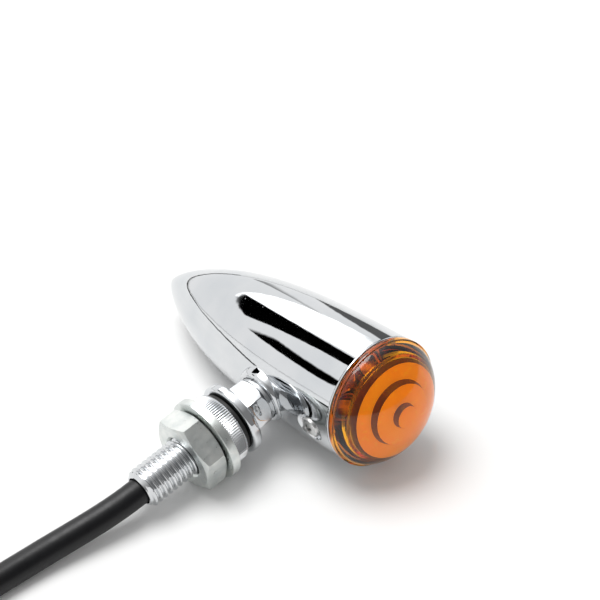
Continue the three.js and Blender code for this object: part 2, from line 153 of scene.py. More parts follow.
def turned_mesh(outline, segments, closed):
    """Vertices and faces of a solid of revolution about Z, from [radius, height] in mm."""
    vertices, rings, faces = [], [], []
    for r, z in outline:
        if r < ON_AXIS:
            rings.append([len(vertices)] * segments)
            vertices.append((0, 0, z * MM))
            continue
        rings.append([len(vertices) + i for i in range(segments)])
        for i in range(segments):
            a = TURN * i / segments
            vertices.append((r * MM * math.cos(a), r * MM * math.sin(a), z * MM))
    pairs = list(zip(rings, rings[1:]))
    if closed:
        pairs.append((rings[-1], rings[0]))
    for low, high in pairs:
        for i in range(segments):
            j = (i + 1) % segments
            face = list(dict.fromkeys((low[i], low[j], high[j], high[i])))
            if len(face) > 2:
                faces.append(face)
    return vertices, faces


def turned(name, outline, place, segments=128, closed=True, fillet=0.0):
    if fillet:
        outline = rounded(outline, fillet, closed=closed)
    return add_piece(name, *turned_mesh(outline, segments, closed), place)


def prism(name, corners, low, high, place, narrow=(1, 1)):
    """A prism along Z over a flat outline in mm, whose low end may be narrower."""
    count = len(corners)
    vertices = [(x * narrow[0] * MM, y * narrow[1] * MM, low * MM) for x, y in corners]
    vertices += [(x * MM, y * MM, high * MM) for x, y in corners]
    faces = [[i, (i + 1) % count, count + (i + 1) % count, count + i] for i in range(count)]
    faces += [list(range(count))[::-1], list(range(count, 2 * count))]
    return add_piece(name, vertices, faces, place)


def settle(piece, sharp_degrees=32):
    """Turns a piece's modifiers into its mesh."""
    bpy.context.view_layer.update()
    graph = bpy.context.evaluated_depsgraph_get()
    mesh = bpy.data.meshes.new_from_object(piece.evaluated_get(graph))
    piece.modifiers.clear()
    piece.data = mesh
    mesh.polygons.foreach_set("use_smooth", [True] * len(mesh.polygons))
    mesh.set_sharp_from_angle(angle=math.radians(sharp_degrees))


def combine(piece, operation, *tools):
    """Cuts, joins or intersects a piece with tool pieces, which are then deleted."""
    for tool in tools:
        boolean = piece.modifiers.new(tool.name, "BOOLEAN")
        boolean.operation, boolean.solver, boolean.object = operation, "EXACT", tool
    settle(piece)
    for tool in tools:
        bpy.data.objects.remove(tool)
    return piece


def merge(piece, *others):
    """Puts the meshes of other pieces into this one."""
    bm = bmesh.new()
    bm.from_mesh(piece.data)
    for other in others:
        bm.from_mesh(other.data)
        bpy.data.objects.remove(other)
    bm.to_mesh(piece.data)
    bm.free()
    return piece


def soften(piece, width, segments=2, angle=30):
    """Rounds a piece's sharp edges by a width in mm."""
    bevel = piece.modifiers.new("edges", "BEVEL")
    bevel.width, bevel.segments = width * MM, segments
    bevel.limit_method, bevel.angle_limit = "ANGLE", math.radians(angle)
    bevel.harden_normals = True
    return piece


def hexagon(across, turn_degrees):
    corner = across / math.sqrt(3)
    angles = [math.radians(turn_degrees + 60 * i) for i in range(6)]
    return [(corner * math.cos(a), corner * math.sin(a)) for a in angles]


def tube(name, path, radius, sides=16, shape=None):
    """A closed tube along points in metres. shape scales the radius at an angle and a distance."""
    points = [Vector(p) for p in path]
    tangents = [(b - a).normalized() for a, b in zip(points, points[1:])]
    tangents.append(tangents[-1])
    side = tangents[0].orthogonal().normalized()
    vertices, faces, distance = [], [], 0.0
    for i, (point, tangent) in enumerate(zip(points, tangents)):
        if i:
            distance += (point - points[i - 1]).length
            tangent = (tangents[i - 1] + tangent).normalized()
        side = (side - tangent * tangent.dot(side)).normalized()
        other = tangent.cross(side)
        for k in range(sides):
            a = TURN * k / sides
            r = radius * (shape(a, distance) if shape else 1)
            vertices.append(point + side * (r * math.cos(a)) + other * (r * math.sin(a)))
    for i in range(len(points) - 1):
        for k in range(sides):
            n = (k + 1) % sides
            low, high = i * sides, (i + 1) * sides
            faces.append([low + k, low + n, high + n, high + k])
    last = (len(points) - 1) * sides
    faces += [list(range(sides))[::-1], [last + k for k in range(sides)]]
    return add_piece(name, vertices, faces)


def smooth_path(points, steps):
    """A Catmull-Rom curve through the points, with a number of steps between each two."""
    p = [Vector(q) for q in points]
    p = [2 * p[0] - p[1], *p, 2 * p[-1] - p[-2]]
    path = []
    for a, b, c, d in zip(p, p[1:], p[2:], p[3:]):
        for k in range(steps):
            t = k / steps
            path.append(0.5 * (2 * b + (c - a) * t + (2 * a - 5 * b + 4 * c - d) * t * t
                               + (3 * b - a - 3 * c + d) * t ** 3))
    path.append(p[-2])
    return path


# ---------------------------------------------------------------- cable route

# The route starts inside the stud's bore, comes out of its end and sinks to the surface, in mm.
CABLE_ROUTE = [
    (9.26, -28.9, 8.07), (9.34, -33.83, 7.28), (9.29, -38.8, 6.48), (8.95, -43.8, 5.68),
    (8.4, -48.8, 4.93), (7.85, -53.8, 4.32), (7.4, -58.8, 3.85), (7.15, -63.8, 3.53),
    (7.03, -68.8, 3.36), (7, -72.8, 3.3), (7, -76, 3.3), (7, -79, 3.3), (7, -82, 3.3),
    (7, -84.2, 3.3), (7, -86, 3.3), (7, -92, 3.3), (7, -98, 3.3), (7, -104, 3.3),
]
CABLE_RADIUS = 3.2
CABLE_LENGTH = 355
SLEEVE_FLAT, SLEEVE_TWIST = 0.035, 16  # share of the radius, and radians to the metre
COIL_CENTRE = (-31, -109.6)
COIL_START, COIL_SHRINK = 38, 6.7  # the coil's first radius, and how much it loses in each turn
COIL_STEP = math.radians(4)
TAILS = {  # [degrees, radius] about the coil's centre
    "signal": [(-118, 24.8), (-136, 23.7), (-155, 22.4), (-174, 20.9), (-194, 19.2)],
    "ground": [(-124, 22.2), (-144, 20.7), (-166, 18.8), (-190, 16.4), (-216, 13.8)],
}
TAIL_RADIUS, TAIL_HEIGHT, STRIPPED = 0.9, 1.0, 8
CABLE_END_INSIDE = 4  # how far the two wires reach back into the sleeve
STRAND = {"radius": 0.15, "lay": 0.3, "turns": 0.9, "flare": 0.25}
TIE = {"half_wide": 6.9, "half_high": 3.25, "width": 2.4, "half_thick": 0.28, "steps": 48}
TIE_PLACE = -8  # which point of the cable's path, from its end, the tie goes round
TIE_HEAD = {"half_length": 2.2, "half_width": 2, "thick": 1.8, "above": 2.9}


def in_coil(angle, radius, height):
    x, y = COIL_CENTRE
    return Vector((x + radius * math.cos(angle), y + radius * math.sin(angle), height)) * MM


def cable_path():
    path = smooth_path([Vector(p) * MM for p in CABLE_ROUTE], 3)
    left = CABLE_LENGTH * MM - sum((b - a).length for a, b in zip(path, path[1:]))
    angle = 0.0
    while left > 0:
        radius = COIL_START + COIL_SHRINK * angle / TURN
        point = in_coil(angle, radius, CABLE_ROUTE[-1][2])
        step = (point - path[-1]).length
        if step > left:
            point = path[-1].lerp(point, left / step)
        path.append(point)
        left -= step
        angle -= COIL_STEP
    return path


def sleeve_shape(angle, distance):
    """The sleeve is a little flat over its two wires, and they turn slowly inside it."""
    return 1 - SLEEVE_FLAT * (1 + math.cos(2 * angle + distance * SLEEVE_TWIST)) / 2


def tail_path(points, lateral, sleeve):
    """A wire's way from inside the sleeve's end to where its insulation stops."""
    along = (sleeve[-1] - sleeve[-2]).normalized()
    side = Vector((-along.y, along.x, 0)) * lateral
    inside = sleeve[-1] - along * CABLE_END_INSIDE * MM + side
    outside = sleeve[-1] + along * MM + side
    flat = [in_coil(math.radians(a), r, TAIL_HEIGHT) for a, r in points]
    return smooth_path([inside, outside, *flat], 6)


def make_strands(name, end, along):
    """Seven twisted strands that stick out of a wire's insulation."""
    strands, steps, outer = [], 16, 6
    side = along.orthogonal().normalized()
    other = along.cross(side)
    for i in range(outer + 1):
        lay = 0.0 if i == outer else STRAND["lay"] * MM
        path = []
        for k in range(steps + 1):
            t = k / steps
            a = TURN * (i / outer + STRAND["turns"] * t)
            spread = lay * (1 + STRAND["flare"] * t)
            forward = end + along * (STRIPPED * MM * t)
            path.append(forward + side * spread * math.cos(a) + other * spread * math.sin(a))
        strands.append(tube(f"{name}_{i}", path, STRAND["radius"] * MM, 8))
    strands[0].name = name
    return merge(*strands)


def make_tie(name, path):
    """A narrow cable tie round the two turns that lie side by side."""
    at = path[TIE_PLACE]
    along = (path[TIE_PLACE + 1] - path[TIE_PLACE - 1]).normalized()
    outward = (at - in_coil(0, 0, CABLE_ROUTE[-1][2])).normalized()
    middle = at + outward * COIL_SHRINK / 2 * MM
    steps, width, half_thick = TIE["steps"], TIE["width"], TIE["half_thick"]
    loop = []
    for k in range(steps):
        a = TURN * k / steps
        across = math.copysign(abs(math.cos(a)) ** 0.6, math.cos(a)) * TIE["half_wide"]
        rise = math.copysign(abs(math.sin(a)) ** 0.8, math.sin(a)) * TIE["half_high"]
        loop.append(middle + outward * across * MM + Vector((0, 0, rise * MM)))
    vertices, faces = [], []
    for k, point in enumerate(loop):
        ahead = (loop[(k + 1) % steps] - loop[k - 1]).normalized()
        normal = along.cross(ahead).normalized()
        for forth, up in ((-1, -1), (1, -1), (1, 1), (-1, 1)):
            side = point + along * (forth * width / 2 * MM)
            vertices.append(side + normal * (up * half_thick * MM))
    for k in range(steps):
        low, high = 4 * k, 4 * ((k + 1) % steps)
        for i in range(4):
            j = (i + 1) % 4
            faces.append([low + i, low + j, high + j, high + i])
    strap = add_piece(name, vertices, faces)
    x, y = TIE_HEAD["half_length"], TIE_HEAD["half_width"]
    on_top = axis_frame(middle + Vector((0, 0, TIE_HEAD["above"] * MM)), (0, 0, 1), along)
    head = prism("tie_head", [(-x, -y), (x, -y), (x, y), (-x, y)], 0, TIE_HEAD["thick"], on_top)
    return soften(merge(strap, head), 0.15)


# ---------------------------------------------------------------- materials

class Nodes:
    """Adds nodes to one material and links them up. Patterns follow the axes of a frame."""

    def __init__(self, name, axes=Matrix.Identity(4)):
        self.material = bpy.data.materials.new(name)
        self.material.use_nodes = True
        self.tree = self.material.node_tree
        self.shader = self.tree.nodes["Principled BSDF"]
        mapping = self.node("ShaderNodeMapping")
        inward = axes.inverted()
        mapping.inputs["Location"].default_value = inward.translation
        mapping.inputs["Rotation"].default_value = inward.to_euler()
        self.link(self.node("ShaderNodeTexCoord").outputs["Object"], mapping.inputs["Vector"])
        self.place = mapping.outputs["Vector"]

    def node(self, kind, **values):
        node = self.tree.nodes.new(kind)
        for key, value in values.items():
            setattr(node, key, value)
        return node

    def link(self, output, socket):
        self.tree.links.new(output, socket)

    def stretched(self, scale):
        """The place on the piece, scaled by three numbers."""
        mapping = self.node("ShaderNodeMapping")
        mapping.inputs["Scale"].default_value = scale
        self.link(self.place, mapping.inputs["Vector"])
        return mapping.outputs["Vector"]

    def noise(self, scale, detail=3.0, roughness=0.5, stretch=(1, 1, 1)):
        """Noise with a number of lumps to the metre."""
        node = self.node("ShaderNodeTexNoise")
        node.inputs["Scale"].default_value = scale
        node.inputs["Detail"].default_value = detail
        node.inputs["Roughness"].default_value = roughness
        self.link(self.stretched(stretch), node.inputs["Vector"])
        return node.outputs["Fac"]

    def cells(self, scale):
        node = self.node("ShaderNodeTexVoronoi")
        node.inputs["Scale"].default_value = scale
        self.link(self.place, node.inputs["Vector"])
        return node.outputs["Distance"]

    def ranged(self, value, low, high, from_low=0.3, from_high=0.7):
        """The value, moved from one range to another."""
        node = self.node("ShaderNodeMapRange")
        sockets = ("From Min", "From Max", "To Min", "To Max")
        for socket, number in zip(sockets, (from_low, from_high, low, high)):
            node.inputs[socket].default_value = number
        self.link(value, node.inputs["Value"])
        return node.outputs["Result"]

    def sum(self, a, b):
        node = self.node("ShaderNodeMath", operation="ADD")
        self.link(a, node.inputs[0])
        self.link(b, node.inputs[1])
        return node.outputs[0]

    def between(self, value, low, high, from_low=0.35, from_high=0.65):
        """A colour between two, by a value."""
        node = self.node("ShaderNodeValToRGB")
        for stop, position, colour in zip(node.color_ramp.elements, (from_low, from_high), (low, high)):
            stop.position = position
            stop.color = (*colour, 1)
        self.link(value, node.inputs["Fac"])
        return node.outputs["Color"]

    def bump(self, height, distance, strength=1.0, below=None):
        """A bump of so many millimetres, over another bump if one is given."""
        node = self.node("ShaderNodeBump")
        node.inputs["Strength"].default_value = strength
        node.inputs["Distance"].default_value = distance * MM
        self.link(height, node.inputs["Height"])
        if below is not None:
            self.link(below, node.inputs["Normal"])
        return node.outputs["Normal"]

    def set(self, **values):
        for name, value in values.items():
            self.shader.inputs[name.replace("_", " ")].default_value = value

    def use(self, **outputs):
        for name, output in outputs.items():
            self.link(output, self.shader.inputs[name.replace("_", " ")])
        return self.material


AROUND_Z = (0.05, 0.05, 1)  # stretches a pattern round the axis, as turning marks run


def chrome_material(name, axes, ripple_depth):
    """Bright plate over buffed metal: a slow ripple, fine buffing lines, pits and a light haze."""
    n = Nodes(name, axes)
    n.set(Metallic=1.0)
    ripple = n.bump(n.noise(190, 2), ripple_depth)
    buffed = n.bump(n.noise(2600, 2, stretch=(0.12, 0.12, 1)), 0.0009, below=ripple)
    pits = n.bump(n.ranged(n.cells(420), -1, 0, 0.02, 0.07), 0.006, below=buffed)
    colour = n.between(n.noise(70, 4), (0.60, 0.62, 0.64), (0.68, 0.69, 0.70))
    haze = n.ranged(n.noise(240, 5, 0.65), 0.012, 0.06)
    return n.use(Base_Color=colour, Roughness=haze, Normal=pits)


def zinc_material():
    """Dull zinc plate on a machined part: crystal mottle, tool marks and scratches."""
    n = Nodes("zinc_plate", STEM)
    n.set(Metallic=1.0)
    mottle = n.noise(900, 5, 0.7)
    tool_marks = n.noise(2400, 2, stretch=AROUND_Z)
    scratches = n.noise(700, 3, 0.6, stretch=(1, 0.06, 0.4))
    colour = n.between(n.noise(230, 5, 0.6), (0.60, 0.635, 0.625), (0.76, 0.775, 0.75))
    rough = n.ranged(n.sum(mottle, scratches), 0.24, 0.46, 0.7, 1.3)
    marks = n.bump(tool_marks, 0.012)
    marks = n.bump(scratches, 0.012, below=marks)
    return n.use(Base_Color=colour, Roughness=rough, Normal=n.bump(mottle, 0.008, below=marks))


def bare_metal_material(name, dark, light, rough):
    """Plain metal with soft spots, grain and scratches."""
    n = Nodes(name)
    n.set(Metallic=1.0)
    grain = n.noise(3000, 3, 0.6)
    colour = n.between(n.noise(350, 5, 0.6), dark, light)
    roughness = n.ranged(n.noise(800, 4), rough - 0.08, rough + 0.1)
    worn = n.bump(n.noise(900, 3, stretch=(1, 0.08, 0.3)), 0.008)
    return n.use(Base_Color=colour, Roughness=roughness, Normal=n.bump(grain, 0.004, below=worn))


def amber_material(name, clarity, haze, dark, light, painted_glow=0.0):
    """Amber plastic, a little wavy, with faint haze. clarity is the share of light it lets through,
    and painted_glow is painted light: an orange emission standing in for light the plastic scatters inside
    itself."""
    n = Nodes(name, LAMP)
    n.set(Transmission_Weight=clarity, IOR=1.5, Specular_IOR_Level=0.35)
    # Painted light: an orange emission on plastic that is no lamp.
    n.set(Emission_Color=(1.0, 0.4, 0.0, 1.0), Emission_Strength=painted_glow)
    colour = n.between(n.noise(120, 3), dark, light)
    waves = n.bump(n.noise(150, 2), 0.012)
    return n.use(Base_Color=colour, Roughness=n.ranged(n.noise(500, 4), haze, haze + 0.03), Normal=waves)


def glass_material():
    n = Nodes("bulb_glass")
    n.set(Transmission_Weight=1.0, IOR=1.47)
    colour = n.between(n.noise(200, 2), (0.96, 0.98, 0.98), (1, 1, 1))
    haze = n.ranged(n.noise(400, 3), 0.0, 0.02)
    return n.use(Base_Color=colour, Roughness=haze, Normal=n.bump(n.noise(120, 2), 0.01))


def polymer_material(name, dark, light, rough, grain_depth, grain_scale=4200):
    """Moulded or drawn plastic: a fine grain, a slow unevenness and a little dust."""
    n = Nodes(name)
    n.set(IOR=1.5, Specular_IOR_Level=0.3)
    grain = n.noise(grain_scale, 4, 0.6)
    drawn = n.noise(380, 3, 0.5)
    dust = n.between(n.cells(2600), light, dark, 0.05, 0.16)
    mixed = n.node("ShaderNodeMixRGB", blend_type="ADD")
    mixed.inputs["Fac"].default_value = 0.5
    n.link(dust, mixed.inputs["Color1"])
    n.link(n.between(n.noise(160, 4), dark, tuple(c * 1.6 for c in dark)), mixed.inputs["Color2"])
    rough_map = n.ranged(n.sum(drawn, grain), rough - 0.07, rough + 0.09, 0.7, 1.3)
    bump = n.bump(grain, grain_depth, below=n.bump(drawn, 0.05))
    return n.use(Base_Color=mixed.outputs["Color"], Roughness=rough_map, Normal=bump)


CHROME_HEAD = chrome_material("chrome_head", LAMP, 0.02)
CHROME_STEM = chrome_material("chrome_stem", STEM, 0.006)
ZINC = zinc_material()
STEEL = bare_metal_material("bright_steel", (0.50, 0.50, 0.50), (0.68, 0.68, 0.67), 0.3)
BRASS = bare_metal_material("satin_brass", (0.60, 0.42, 0.16), (0.80, 0.60, 0.28), 0.26)
TIN = bare_metal_material("tinned_metal", (0.62, 0.62, 0.60), (0.80, 0.80, 0.78), 0.34)
TUNGSTEN = bare_metal_material("dull_tungsten", (0.18, 0.18, 0.19), (0.34, 0.34, 0.34), 0.4)
AMBER = amber_material("amber_plastic", 1.0, 0.004, (1.0, 0.38, 0.0), (1.0, 0.44, 0.002))
# The frosted step flats: painted light, an orange emission of 0.3 on top of their scatter.
AMBER_STEP = amber_material("amber_frosted_step_painted_glow", 0.12, 0.25, (1.0, 0.50, 0.0), (1.0, 0.60, 0.0), 0.3)
# The steps' edges: painted shade, a near-black brown that stands in for the dark interior seen through clear
# plastic.
AMBER_EDGE_PAINTED_SHADE = amber_material("amber_step_edge_painted_shade", 0.1, 0.3, (0.07, 0.010, 0.0), (0.13, 0.022, 0.0))
GLASS = glass_material()
VINYL = polymer_material("black_vinyl", (0.002, 0.002, 0.0025), (0.02, 0.02, 0.021), 0.34, 0.006)
NYLON = polymer_material("black_nylon", (0.012, 0.012, 0.012), (0.06, 0.06, 0.06), 0.5, 0.010)
RUBBER = polymer_material("seal_rubber", (0.015, 0.015, 0.015), (0.05, 0.05, 0.05), 0.62, 0.012)
PHENOLIC = polymer_material("brown_phenolic", (0.10, 0.045, 0.018), (0.22, 0.12, 0.06), 0.55, 0.010)
PLATED_INSIDE = bare_metal_material("plated_inside", (0.70, 0.70, 0.70), (0.86, 0.86, 0.85), 0.16)


# ---------------------------------------------------------------- cable

def make_cord():
    path = cable_path()
    sleeve = tube("cable", path, CABLE_RADIUS * MM, 28, sleeve_shape)
    dress(sleeve, VINYL, "mount_stud", "black_vinyl", "cable_lead", "cable_coil")
    parts = []
    for lateral, (name, points) in zip((-1.0, 1.0), TAILS.items()):
        route = tail_path(points, lateral * MM, path)
        wire = tube(f"{name}_lead_wire", route, TAIL_RADIUS * MM, 14)
        dress(wire, VINYL, "mount_stud", "black_vinyl", f"{name}_tail")
        strands = make_strands(f"{name}_bare_strands", route[-1], (route[-1] - route[-2]).normalized())
        dress(strands, TIN, "mount_stud", "tin", f"{name}_strands")
        parts += [wire, strands]
    tie = dress(make_tie("cable_tie", path), NYLON, "mount_stud", "black_plastic")


# ---------------------------------------------------------------- housing and lens

BULLET = {"radius": 15.8, "length": 77.0, "bulge": 3.1, "taper": 0.81}
CAVITY = {"radius": 13.7, "length": 68.0}
CROWDING = 1.3  # how much the rings of vertices close up towards the tail
FRONT_RIM = [(15.8, -0.55), (15.8, 0), (15.3, 0)]
BOSS = [(0, 13), (7.4, 13), (7.1, 15.2), (6.75, 15.75), (6.4, 16.0), (0, 16.0)]
STEM_AT, NECK_RADIUS, NECK_CLEARANCE = -24.65, 5.6, 0.15
SCREW_AT, SCREW_SEAT, SCREW_HOLE = -7.0, 14.5, 1.65
SCREW_FLARE = [(3.2, SCREW_SEAT), (3.55, 15.3), (4.5, 16.4)]
SKIN = {"from": -0.5, "near": 0.02, "match": 0.97, "tip": 0.05, "step": 0.01}

DOME = {"base": 1.5, "radius": 15.5, "height": 9.1, "power": 1.39, "rings": 40}
LENS_STEPS = [(2.7, 8.8), (7.0, 6.5), (11.0, 4.3), (11.9, 2.2)]  # outer radius and height of each
LENS_SKIRT = [
    (11.9, -9.2), (13.3, -9.2), (13.3, -2.6), (12.5, -2.6), (12.5, -1.4), (13.3, -1.4), (13.3, 0.3),
]
LENS_FLANGE = [(15.9, 0.3), (15.9, 1.5), (15.5, 1.5)]
OUTER_FACING, FLAT_FACING = 0.3, -0.8  # cosines between the lamp axis and a face's normal


def bullet_radius(z, radius=BULLET["radius"], length=BULLET["length"]):
    share = min(max(-z / length, 0.0), 1.0)
    return radius * (1 - share ** BULLET["bulge"]) ** BULLET["taper"]


def bullet_outline(radius, length, steps):
    """From the tail's tip to the front rim."""
    heights = [-length * math.cos(math.pi / 2 * i / steps) ** CROWDING for i in range(steps + 1)]
    return [(bullet_radius(z, radius, length), z) for z in heights]


def side_of_lamp(at, out=0.0):
    """A frame whose Z points the stem's way, at a height on the lamp axis and a distance from it."""
    turn = Matrix.Rotation(math.pi / 2, 4, "Y")
    return LAMP @ Matrix.Translation((0, 0, at * MM)) @ turn @ Matrix.Translation((0, 0, out * MM))


def across_lamp(name, outline, at, segments=96):
    return turned(name, outline, side_of_lamp(at), segments, closed=False)


def drill(name, radius, low, high, at, segments=96):
    """A round cutter between two distances from the lamp axis."""
    return across_lamp(name, [(0, low), (radius, low), (radius, high), (0, high)], at, segments)


def even_skin(piece):
    """Gives the bullet's outer skin the curve's own normals, so that cuts leave no ripple."""
    mesh, step = piece.data, SKIN["step"]
    inward, outward = LAMP.inverted(), LAMP.to_3x3()
    normals = []
    for face in mesh.polygons:
        for index in face.loop_indices:
            p = inward @ mesh.vertices[mesh.loops[index].vertex_index].co / MM
            r = math.hypot(p.x, p.y)
            slope = (bullet_radius(p.z + step) - bullet_radius(p.z - step)) / (2 * step)
            local = Vector((p.x, p.y, -slope * r)) if r > SKIN["tip"] else Vector((0, 0, -1))
            normal = outward @ local.normalized()
            near = p.z < SKIN["from"] and abs(r - bullet_radius(p.z)) < SKIN["near"]
            on_skin = near and face.normal.dot(normal) > SKIN["match"]
            normals.append(normal if on_skin else (0, 0, 0))
    mesh.normals_split_custom_set(normals)


def make_housing():
    outside = bullet_outline(BULLET["radius"], BULLET["length"], 96)[:-1]
    outside += rounded(FRONT_RIM, 0.4, closed=False)
    inside = bullet_outline(CAVITY["radius"], CAVITY["length"], 40)[::-1]
    shell = turned("bullet_housing", outside + inside, LAMP, 176, closed=False)
    combine(shell, "UNION", across_lamp("boss", BOSS, STEM_AT))
    bore = drill("bore", NECK_RADIUS + NECK_CLEARANCE, 8, 18, STEM_AT)
    flare = rounded(SCREW_FLARE, 0.6, closed=False)
    recess = across_lamp("recess", [(0, SCREW_SEAT), *flare, (0, SCREW_FLARE[-1][1])], SCREW_AT)
    hole = drill("hole", SCREW_HOLE, 11, 15, SCREW_AT, 32)
    combine(shell, "DIFFERENCE", bore, recess, hole)
    even_skin(shell)
    dress(shell, CHROME_HEAD, "lamp_head", "chrome", "housing_shell")


def dome_height(r):
    share = max(1 - (r / DOME["radius"]) ** 2, 0)
    return DOME["base"] + DOME["height"] * share ** (1 / DOME["power"])


def frost_steps_and_paint_edge_shade(lens):
    """Inside the dome, the steps' flats scatter light and carry painted light, an orange emission, and the
    edges between them are painted dark as shade.
    """
    lens.data.materials.append(AMBER_STEP)
    lens.data.materials.append(AMBER_EDGE_PAINTED_SHADE)
    flat_index, edge_index = 1, 2
    inward, (widest, lowest) = LAMP.inverted(), LENS_STEPS[-1]
    for face in lens.data.polygons:
        middle = inward @ face.center / MM
        facing = face.normal.dot(Vector(LAMP_DIRECTION))
        inside = middle.z > lowest + 0.2 and math.hypot(middle.x, middle.y) < widest - 0.1
        if inside and facing < OUTER_FACING:
            face.material_index = flat_index if facing < FLAT_FACING else edge_index


def make_lens():
    inner, radius = [], 0.0
    for step, height in LENS_STEPS:
        inner += [(radius, height), (step, height)]
        radius = step
    dome, rings = [], DOME["rings"]
    for i in range(1, rings + 1):
        r = DOME["radius"] * math.cos(math.pi / 2 * i / rings)
        dome.append((0 if i == rings else r, dome_height(r)))
    hard = rounded([*inner, *LENS_SKIRT, *LENS_FLANGE, dome[0]], 0.14, 2, closed=False)
    lens = turned("amber_lens", hard + dome[1:], LAMP, 160, closed=False)
    combine(lens, "DIFFERENCE", drill("lens_hole", 1.6, 11, 14, SCREW_AT, 32))
    dress(lens, AMBER, "lamp_head", "amber", "lens")
    frost_steps_and_paint_edge_shade(lens)


def make_seal():
    outline = [(12.8, -2.45), (13.5, -2.45), (13.5, -1.55), (12.8, -1.55)]
    seal = turned("lens_seal_ring", outline, LAMP, 96, fillet=0.3)
    dress(seal, RUBBER, "lamp_head", "black_plastic", "lens_seal")


def cross_slot(name, place, across, depth):
    """A Phillips recess: two crossed blades that narrow towards the bottom."""
    blades, half, thick, narrow = [], across / 2, across * 0.12, (0.45, 0.8)
    corners = [(-half, -thick), (half, -thick), (half, thick), (-half, thick)]
    for turn_degrees in (20, 110):
        turned_place = place @ Matrix.Rotation(math.radians(turn_degrees), 4, "Z")
        blades.append(prism(f"{name}_{turn_degrees}", corners, -depth, 0.5, turned_place, narrow))
    return blades


def make_lens_screw():
    shank = [(0, 9.8), (1.0, 9.8), (1.3, 10.3), (1.3, 14.8)]
    head = [(2.55, 14.8), (2.6, 15.15), (2.35, 15.75), (1.7, 16.1), (0.9, 16.25), (0, 16.3)]
    screw = across_lamp("lens_retaining_screw", shank + head, SCREW_AT, 64)
    slot = cross_slot("lens_slot", side_of_lamp(SCREW_AT, 16.2), 3.0, 1.1)
    combine(screw, "DIFFERENCE", *slot)
    soften(screw, 0.06)
    dress(screw, STEEL, "retaining_screw", "steel", "lens_screw")


# ---------------------------------------------------------------- bulb and socket

def make_bulb():
    quarter = np.linspace(0, math.pi / 2, 12)
    outer, inner = [[(r * math.cos(a), r * math.sin(a) - 0.1) for a in quarter[:-1]] for r in (4.4, 3.9)]
    neck_out = [(4.0, -9.5), (4.1, -8.6), (4.35, -6.5)]
    neck_in = [(3.85, -6.5), (3.6, -8.6), (3.5, -9.5)]
    outline = [*neck_out, *outer, (0, 4.3), (0, 3.8), *inner[::-1], *neck_in, neck_out[0]]
    glass = turned("bulb_envelope", outline, LAMP, 64, closed=False)
    dress(glass, GLASS, "bulb", "clear_glass", "bulb_glass")
    can = [(0, -19.5), (4.3, -19.5), (4.6, -19.2), (4.6, -11.0), (4.75, -10.75), (4.6, -10.5)]
    can += [(4.6, -10.1), (4.35, -9.8), (0, -9.8)]
    base = turned("bulb_cap", can, LAMP, 64, closed=False)
    pin = rounded([(0, 4.2), (1.0, 4.2), (1.0, 5.8), (0, 5.8)], 0.25, closed=False)
    for side in (0, 180):
        about_lamp = LAMP @ Matrix.Rotation(math.radians(side), 4, "Z") @ LAMP.inverted()
        merge(base, turned("pin", pin, about_lamp @ side_of_lamp(-16.5), 24, closed=False))
    dress(base, BRASS, "bulb", "brass", "bulb_base")


POST = {"apart": 3.0, "radius": 0.2, "heights": (-9.2, -6.0, -3.0, -1.7)}
FILAMENT = {"turns": 9, "steps": 180, "coil": 0.3, "bow": 0.45, "radius": 0.07}


def make_filament():
    """Two posts and a coiled wire that bows up between them."""
    parts, half = [], POST["apart"] / 2
    for side in (-1, 1):
        post = [LAMP @ (Vector((0, side * half, z)) * MM) for z in POST["heights"]]
        parts.append(tube(f"post_{side}", smooth_path(post, 4), POST["radius"] * MM, 10))
    coil = []
    for i in range(FILAMENT["steps"] + 1):
        t = i / FILAMENT["steps"]
        a = TURN * FILAMENT["turns"] * t
        x = FILAMENT["coil"] * math.cos(a)
        z = FILAMENT["bow"] * math.sin(math.pi * t) + POST["heights"][-1] + FILAMENT["coil"] * math.sin(a)
        coil.append(LAMP @ (Vector((x, POST["apart"] * t - half, z)) * MM))
    parts.append(tube("filament_coil", coil, FILAMENT["radius"] * MM, 8))
    filament = merge(parts[0], *parts[1:])
    filament.name = "bulb_filament_wire"
    dress(filament, TUNGSTEN, "bulb", "steel", "bulb_filament")


# ---------------------------------------------------------------- neck and stud

FLANGE = [(0, 23.05), (8.6, 23.05), (9.1, 23.5), (9.1, 25.2), (8.6, 25.65), (0, 25.65)]
NECK_ACROSS, NECK_TURN = 11.6, 44
KNURL = {
    "root": 8.62, "crest": 8.85, "teeth": 90, "low": 27.25, "high": 31.0, "bevel": 0.35, "drop": 0.35,
}
# gain and offset flatten the thread's crests and roots. Its ends start below the root and rise.
THREAD = {
    "crest": 4.95, "root": 4.12, "pitch": 1.5, "low": 31.0, "high": 53.1,
    "gain": 1.35, "offset": 0.1, "below": 0.25, "run_out": 3,
}
NUT = {"low": 33.9, "high": 39.9, "across": 17.0, "turn": 11.5, "corner_drop": 0.8}
NUT_BORE = {"radius": 5.05, "mouth": 5.6, "mouth_depth": 0.55}


def make_neck():
    corner = NECK_ACROSS / math.sqrt(3) + 0.3
    ridge = [(0, 17.0), (NECK_RADIUS, 17.0), (corner, 18.6), (corner, 22.0), (corner - 0.6, 23.2), (0, 23.2)]
    hex_part = prism("neck_fitting_body", hexagon(NECK_ACROSS, NECK_TURN), 14, 23.2, STEM)
    combine(hex_part, "INTERSECT", turned("ridge", ridge, STEM, 96, closed=False))
    soften(hex_part, 0.16, 3, 20)
    settle(hex_part)
    spigot = turned("spigot", [(3.8, 13.6), (NECK_RADIUS, 13.6), (NECK_RADIUS, 17.1), (3.8, 17.1)], STEM, 96)
    rim = turned("rim", rounded(FLANGE, 0.3, closed=False), STEM, 128, closed=False)
    merge(hex_part, spigot, rim)
    dress(hex_part, CHROME_STEM, "lamp_head", "chrome", "neck_fitting")


def make_swivel_washer():
    outline = [(3.9, 25.95), (7.8, 25.95), (7.8, 26.95), (3.9, 26.95)]
    washer = turned("swivel_joint_washer", outline, STEM, 96, fillet=0.2)
    dress(washer, NYLON, "mount_stud", "black_plastic", "swivel_washer")


